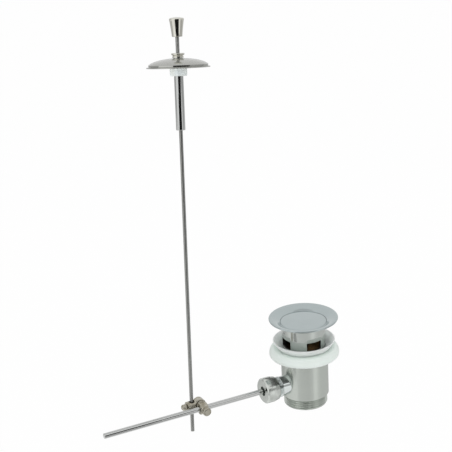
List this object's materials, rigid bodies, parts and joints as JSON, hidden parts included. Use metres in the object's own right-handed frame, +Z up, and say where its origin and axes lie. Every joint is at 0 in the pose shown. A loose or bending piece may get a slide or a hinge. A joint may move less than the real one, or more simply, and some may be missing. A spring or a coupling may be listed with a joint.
{
  "type": "pop-up basin waste",
  "caption": "Slotted basin waste with a plug that a lever, a swivel clamp and a lift rod with cover plate and knob raise and lower.",
  "frame": {"origin": "centre of the flange's flat underside, where the waste sits in a basin's outlet", "axes": "+Z up the waste axis; -X along the side port and the lever; the lift rod stands on the +Y side of the lever"},
  "size_m": [0.2445, 0.1343, 0.3764],
  "materials": {
    "chrome": "polished chrome plate",
    "satin_nickel": "satin turned nickel plate",
    "warm_nickel": "dull warm nickel plate",
    "zinc": "bright zinc plate",
    "steel": "drawn steel",
    "white_rubber": "moulded white rubber",
    "black_rubber": "moulded black rubber",
    "white_nylon": "moulded white nylon",
    "brass": "turned brass"
  },
  "bodies": {
    "waste": {"valve_cup": "chrome", "upper_seal": "white_rubber", "lower_washer": "white_nylon", "tailpiece": "satin_nickel", "ball_seat_inner": "white_nylon", "ball_seat_outer": "white_nylon"},
    "ball_nut": {"ball_nut": "chrome"},
    "plug": {"plug_cap": "chrome", "plug_seal_ring": "black_rubber", "plug_stem": "brass", "plug_height_screw": "brass", "plug_lock_nut": "brass"},
    "lever": {"lever_rod": "chrome", "lever_ball": "white_nylon"},
    "lever_clamp": {"lever_clamp": "warm_nickel", "swivel_rivet": "warm_nickel"},
    "lever_clamp_screw": {"lever_clamp_screw": "warm_nickel"},
    "rod_clamp": {"rod_clamp": "warm_nickel"},
    "rod_clamp_screw": {"rod_clamp_screw": "warm_nickel"},
    "lift_rod": {"lift_rod": "steel", "lift_knob": "satin_nickel"},
    "rod_guide": {"guide_tube": "chrome", "guide_bush_lower": "white_nylon", "guide_bush_upper": "white_nylon", "guide_collar": "satin_nickel", "cover_plate": "satin_nickel", "cover_spacer": "white_nylon"},
    "guide_nut": {"guide_nut": "zinc"}
  },
  "joints": [
    {"name": "lever_swing", "type": "hinge", "parent": "waste", "child": "lever", "pos_m": [-0.036, 0, -0.0645], "axis": [0, 1, 0], "range_deg": [-9.5, 0]},
    {"name": "plug_lift", "type": "slide", "parent": "waste", "child": "plug", "axis": [0, 0, 1], "range_m": [0, 0.0062]},
    {"name": "ball_nut_turn", "type": "hinge", "parent": "waste", "child": "ball_nut", "pos_m": [-0.0385, 0, -0.0645], "axis": [-1, 0, 0], "continuous": true},
    {"name": "clamp_slide", "type": "slide", "parent": "lever", "child": "lever_clamp", "axis": [-1, 0, 0], "range_m": [-0.045, 0.085]},
    {"name": "lever_screw_turn", "type": "hinge", "parent": "lever_clamp", "child": "lever_clamp_screw", "pos_m": [-0.1103, -0.008, -0.0645], "axis": [0, -1, 0], "continuous": true},
    {"name": "rod_swivel", "type": "hinge", "parent": "lever_clamp", "child": "rod_clamp", "pos_m": [-0.1103, 0.008, -0.0629], "axis": [0, 1, 0], "range_deg": [-12, 12]},
    {"name": "rod_screw_turn", "type": "hinge", "parent": "rod_clamp", "child": "rod_clamp_screw", "pos_m": [-0.126, 0.008, -0.0629], "axis": [-1, 0, 0], "continuous": true},
    {"name": "rod_slide", "type": "slide", "parent": "rod_clamp", "child": "lift_rod", "axis": [0.1159, 0.2031, 0.9723], "range_m": [-0.03, 0.02]},
    {"name": "guide_slide", "type": "slide", "parent": "lift_rod", "child": "rod_guide", "axis": [0.1159, 0.2031, 0.9723], "range_m": [0, 0.0127]},
    {"name": "guide_nut_turn", "type": "hinge", "parent": "rod_guide", "child": "guide_nut", "pos_m": [-0.08194, 0.07127, 0.23996], "axis": [0.1159, 0.2031, 0.9723], "continuous": true}
  ],
  "couplings": [
    {"joint": "plug_lift", "follows": "lever_swing", "m_per_rad": -0.0368},
    {"joint": "rod_swivel", "follows": "lever_swing", "ratio": -1},
    {"joint": "guide_slide", "follows": "lever_swing", "m_per_rad": -0.0764}
  ]
}
